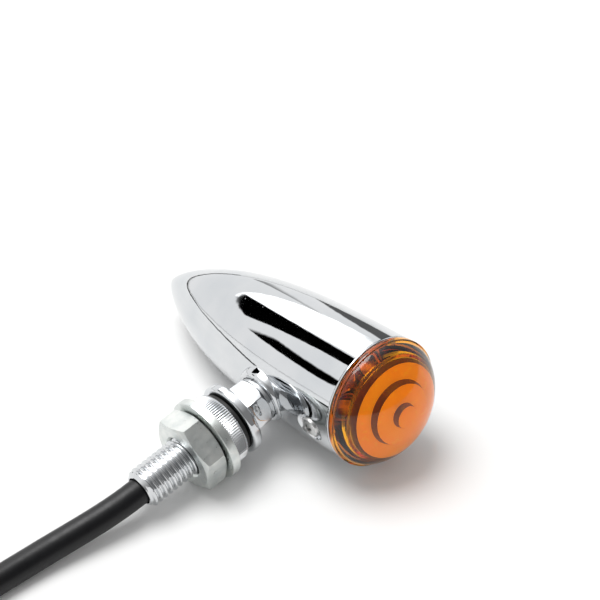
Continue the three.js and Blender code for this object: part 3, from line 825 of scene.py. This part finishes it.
def knurled_band():
    """A straight knurl round the collar, run out to a bevel at both ends."""
    low, high, bevel = KNURL["low"], KNURL["high"], KNURL["bevel"]
    rise = [(0, 0.0), (bevel, 0.6), (2 * bevel, 1)]  # distance from an end, share of the depth
    levels = [(low + d, share) for d, share in rise] + [(high - d, share) for d, share in rise[::-1]]
    per_tooth = 6
    count = KNURL["teeth"] * per_tooth
    vertices, faces = [], []
    for z, share in levels:
        for i in range(count):
            wave = 0.5 + 0.5 * math.cos(TURN * i / per_tooth)
            r = KNURL["root"] + (KNURL["crest"] - KNURL["root"]) * wave * share
            r -= KNURL["drop"] * (1 - share) * bevel
            a = TURN * i / count
            vertices.append((r * MM * math.cos(a), r * MM * math.sin(a), z * MM))
    for k in range(len(levels) - 1):
        for i in range(count):
            j = (i + 1) % count
            faces.append([k * count + i, k * count + j, (k + 1) * count + j, (k + 1) * count + i])
    top = (len(levels) - 1) * count
    faces += [list(range(count))[::-1], [top + i for i in range(count)]]
    return add_piece("knurl", vertices, faces, STEM)


def helical_thread(name, segments):
    """The stud's helical thread as a skin, its outer end turned off at 45 degrees."""
    crest, root, low, high = [THREAD[key] for key in ("crest", "root", "low", "high")]
    per_pitch, pitch = 10, THREAD["pitch"]
    rows = int((high - low) / pitch + 2) * per_pitch
    vertices, faces = [], []
    for i in range(segments):
        a = TURN * i / segments
        for j in range(rows):
            z = low - pitch + (j / per_pitch + i / segments) * pitch
            wave = 0.5 + 0.5 * math.cos(TURN * j / per_pitch)
            share = min(max(THREAD["gain"] * wave - THREAD["offset"], 0), 1)
            inside = min(max(z, low), high)
            end_rise = min(high - inside, (inside - low) * THREAD["run_out"])
            r = min(root + (crest - root) * share, root - THREAD["below"] + end_rise)
            vertices.append((r * MM * math.cos(a), r * MM * math.sin(a), inside * MM))
    for i in range(segments):
        shift = per_pitch if i == segments - 1 else 0  # the last column meets the first a pitch on
        for j in range(rows - 1 - shift):
            near, far = i * rows + j, (i + 1) % segments * rows + j + shift
            faces.append([near, far, far + 1, near + 1])
    return add_piece(name, vertices, faces, STEM, 75)


def make_stud():
    shank = [(2.4, 11.6), (3.5, 11.6), (3.5, 12.5), (2.95, 12.5), (2.95, 13.4), (3.5, 13.4), (3.5, 28)]
    stud_end = [(4.0, 28), (4.0, 52.9), (3.9, 53.1), (3.55, 53.1), (3.5, 52.8), (3.5, 45), (2.4, 45)]
    stud = helical_thread("threaded_mount_stud", 72)
    merge(stud, turned("core", shank + stud_end, STEM, 72), knurled_band())
    dress(stud, CHROME_STEM, "mount_stud", "chrome", "threaded_stud")


def make_flat_washer():
    outline = [(5.3, 31.3), (10.45, 31.3), (10.45, 33.6), (5.3, 33.6)]
    washer = turned("mount_washer", outline, STEM, 128, fillet=0.3)
    dress(washer, ZINC, "washer", "zinc", "flat_washer")


def make_nut():
    low, high, across, drop = [NUT[key] for key in ("low", "high", "across", "corner_drop")]
    radius, mouth, mouth_depth = NUT_BORE.values()
    corner, face = across / math.sqrt(3) + 0.1, across / 2 - 0.25
    profile = [(0, low), (face, low), (corner, low + drop)]
    profile += [(corner, high - drop), (face, high), (0, high)]
    nut = prism("mount_nut", hexagon(across, NUT["turn"]), low, high, STEM)
    combine(nut, "INTERSECT", turned("nut_profile", profile, STEM, 96, closed=False))
    bore = [(0, low - 1), (mouth, low - 1), (mouth, low), (radius, low + mouth_depth)]
    bore += [(radius, high - mouth_depth), (mouth, high), (mouth, high + 1), (0, high + 1)]
    combine(nut, "DIFFERENCE", turned("nut_bore", bore, STEM, 96, closed=False))
    soften(nut, 0.14, 3, 20)
    dress(nut, ZINC, "nut", "zinc", "hex_nut")


# ---------------------------------------------------------------- inner CAD pieces

CARRIED = {
    "socket_shell": PLATED_INSIDE, "socket_plate": PLATED_INSIDE, "plate_screw_upper": STEEL,
    "plate_screw_lower": STEEL, "ground_terminal": TIN, "centre_contact": BRASS, "contact_spring": STEEL,
    "contact_carrier": PHENOLIC, "bulb_insulator": NYLON, "bulb_tip_contact": TIN, "retaining_ring": STEEL,
    "power_wire": VINYL, "ground_wire": VINYL,
}
THIN = {"contact_spring", "power_wire", "ground_wire"}


def carry_nodes():
    """The CAD's inner pieces keep their shapes and get smooth faces, soft edges and a finish."""
    for name, material in CARRIED.items():
        node = frame["nodes"][name]
        node.data.materials.clear()
        node.data.materials.append(material)
        node.data.polygons.foreach_set("use_smooth", [True] * len(node.data.polygons))
        node.data.set_sharp_from_angle(angle=math.radians(40))
        if name not in THIN:
            soften(node, 0.08, 2, 50)


# ---------------------------------------------------------------- studio

FLOOR_RADIUS = 4000


def floor_material():
    n = Nodes("white_paper")
    n.set(Specular_IOR_Level=0.2)
    colour = n.between(n.noise(30, 3), (0.86, 0.86, 0.855), (0.88, 0.88, 0.875))
    rough = n.ranged(n.noise(900, 3), 0.6, 0.7)
    return n.use(Base_Color=colour, Roughness=rough, Normal=n.bump(n.noise(1500, 3), 0.01))


def make_floor():
    vertices, faces = turned_mesh([(0, 0), (300, 0), (FLOOR_RADIUS, 0)], 64, False)
    floor = add_piece("floor", vertices, faces)
    floor.data.materials.append(floor_material())


# The shadow in the gap at the table's far edge as a mirror-bright part sees it: painted shade, a thin
# dark band on the floor, given as an azimuth in degrees and the band's two distances from the lamp in mm.
TABLE_EDGE = [
    (145, 560, 1300), (165, 540, 1200), (175, 520, 1050), (190, 440, 740), (200, 340, 455),
    (210, 226, 285), (220, 142, 170), (228, 100, 114), (234, 84, 94),
]
TABLE_EDGE_HEIGHT = 0.2
LAMP_MIDDLE = -35  # along the lamp axis


def make_table_edge():
    """A painted shadow band, seen only in the gloss of the chrome: it throws no shadow and the camera
    doesn't see it.
    """
    centre = LAMP @ Vector((0, 0, LAMP_MIDDLE * MM))
    rows = []
    for azimuth, near, far in TABLE_EDGE:
        a = math.radians(azimuth)
        rows.append([centre + Vector((math.cos(a), math.sin(a), 0)) * r * MM for r in (near, far)])
    sides = [smooth_path(side, 6) for side in zip(*rows)]
    vertices = [Vector((p.x, p.y, TABLE_EDGE_HEIGHT * MM)) for side in sides for p in side]
    count = len(sides[0])
    faces = [[i, i + 1, count + i + 1, count + i] for i in range(count - 1)]
    band = add_piece("table_edge_painted_shadow", vertices, faces)
    n = Nodes("painted_edge_shadow")
    n.set(Specular_IOR_Level=0.0)
    # Painted shade: near-black, standing in for the shadow in the gap at the table's edge.
    shade = n.between(n.noise(12, 3), (0.01, 0.01, 0.01), (0.03, 0.03, 0.03))
    band.data.materials.append(n.use(Base_Color=shade))
    for kind in ("camera", "shadow", "diffuse", "transmission"):
        setattr(band, f"visible_{kind}", False)


# Cards round the lamp, as azimuths and elevations in degrees. soft gives how gradually a card's
# low-azimuth side and its top fade, slant leans that side, and level is how much it dims the sky
# or, above 1, brightens it.
CARDS = [
    {"sides": (167, 197), "ends": (25, 50), "soft": (1.5, 12), "slant": 0.6, "level": 0.0},
    {"sides": (208, 224), "ends": (18.5, 27), "soft": (3, 2), "slant": 0.0, "level": 0.0},
    {"sides": (137, 176), "ends": (24, 80), "soft": (2, 9), "slant": 0.6, "level": 2.0},
    {"sides": (126, 133), "ends": (-6, 33), "soft": (3, 6), "slant": 0.0, "level": 0.12},
    {"sides": (139, 143), "ends": (2, 30), "soft": (3, 6), "slant": 0.1, "level": 0.35},
]
CARD_EDGE = {"side": 0.8, "bottom": 1}  # how gradually its other two edges fade, in degrees
# The sky's brightness low down and high up and the elevations between which it changes, then how
# far it is dimmed to the right, and the parts of X, as a direction, between which that changes.
SKY = {"low": 1.08, "high": 2.3, "from": 42, "to": 64, "right": 0.24, "dim_from": -0.35, "dim_to": 0.45}
SKY_FOR_FILL = 0.6


class SkyNodes:
    """Adds maths nodes to the world."""

    def __init__(self, tree):
        self.tree = tree

    def maths(self, operation, *values):
        node = self.tree.nodes.new("ShaderNodeMath")
        node.operation = operation
        for socket, value in zip(node.inputs, values):
            if isinstance(value, (int, float)):
                socket.default_value = value
            else:
                self.tree.links.new(value, socket)
        return node.outputs[0]

    def rise(self, value, start, end, low=0.0, high=1.0):
        """Goes smoothly from low to high as the value goes from start to end."""
        node = self.tree.nodes.new("ShaderNodeMapRange")
        node.interpolation_type = "SMOOTHSTEP"
        for socket, number in zip(("From Min", "From Max", "To Min", "To Max"), (start, end, low, high)):
            node.inputs[socket].default_value = number
        self.tree.links.new(value, node.inputs["Value"])
        return node.outputs["Result"]

    def card(self, azimuth, elevation, card):
        """What a card leaves of the light behind it."""
        left, right = card["sides"]
        low, high = card["ends"]
        side_soft, top_soft = card["soft"]
        lean = self.maths("MULTIPLY", self.maths("SUBTRACT", elevation, low), -card["slant"])
        leaning = self.maths("ADD", azimuth, lean)
        parts = [
            self.rise(leaning, left, left + side_soft),
            self.rise(azimuth, right, right + CARD_EDGE["side"], 1, 0),
            self.rise(elevation, low, low + CARD_EDGE["bottom"]),
            self.rise(elevation, high, high + top_soft, 1, 0),
        ]
        cover = parts[0]
        for part in parts[1:]:
            cover = self.maths("MULTIPLY", cover, part)
        return self.maths("SUBTRACT", 1, self.maths("MULTIPLY", cover, 1 - card["level"]))


def make_world():
    """A pale studio, darker to the right, with dark and bright cards that only the gloss picks up."""
    world = bpy.data.worlds.new("studio")
    world.use_nodes = True
    SCENE.world = world
    tree = world.node_tree
    sky = SkyNodes(tree)
    split = tree.nodes.new("ShaderNodeSeparateXYZ")
    tree.links.new(tree.nodes.new("ShaderNodeTexCoord").outputs["Generated"], split.inputs[0])
    x, y, z = split.outputs
    turned_back = sky.maths("ARCTAN2", sky.maths("MULTIPLY", y, -1), sky.maths("MULTIPLY", x, -1))
    azimuth = sky.maths("ADD", sky.maths("DEGREES", turned_back), 180)
    elevation = sky.maths("DEGREES", sky.maths("ARCSINE", z))

    level = sky.rise(elevation, SKY["from"], SKY["to"], SKY["low"], SKY["high"])
    dimmed = sky.rise(x, SKY["dim_from"], SKY["dim_to"], 1, SKY["right"])
    level = sky.maths("MULTIPLY", level, dimmed)
    for card in CARDS:
        level = sky.maths("MULTIPLY", level, sky.card(azimuth, elevation, card))
    glossy = tree.nodes.new("ShaderNodeLightPath").outputs["Is Glossy Ray"]
    gloss_part = sky.maths("MULTIPLY", level, glossy)
    fill_part = sky.maths("MULTIPLY", sky.maths("SUBTRACT", 1, glossy), SKY_FOR_FILL)
    tree.links.new(sky.maths("ADD", gloss_part, fill_part), tree.nodes["Background"].inputs["Color"])


KEY = {"azimuth": 200, "elevation": 74, "distance": 1.3, "size": 0.95, "watts": 13}


def make_key_light():
    """One large soft light above the tail, which throws the shadows towards the lens."""
    data = bpy.data.lights.new("key", "AREA")
    data.shape, data.size, data.energy = "DISK", KEY["size"], KEY["watts"]
    light = bpy.data.objects.new("key", data)
    SCENE.collection.objects.link(light)
    azimuth, elevation = math.radians(KEY["azimuth"]), math.radians(KEY["elevation"])
    flat = math.cos(elevation)
    direction = Vector((math.cos(azimuth) * flat, math.sin(azimuth) * flat, math.sin(elevation)))
    light.location = direction * KEY["distance"]
    light.rotation_euler = (-direction).to_track_quat("-Z", "Y").to_euler()


# ---------------------------------------------------------------- the whole

make_camera()
make_cord()
make_housing()
make_lens()
make_seal()
make_lens_screw()
make_bulb()
make_filament()
make_neck()
make_swivel_washer()
make_stud()
make_flat_washer()
make_nut()
carry_nodes()
make_floor()
make_table_edge()
make_world()
make_key_light()
SCENE.view_settings.view_transform = "Standard"
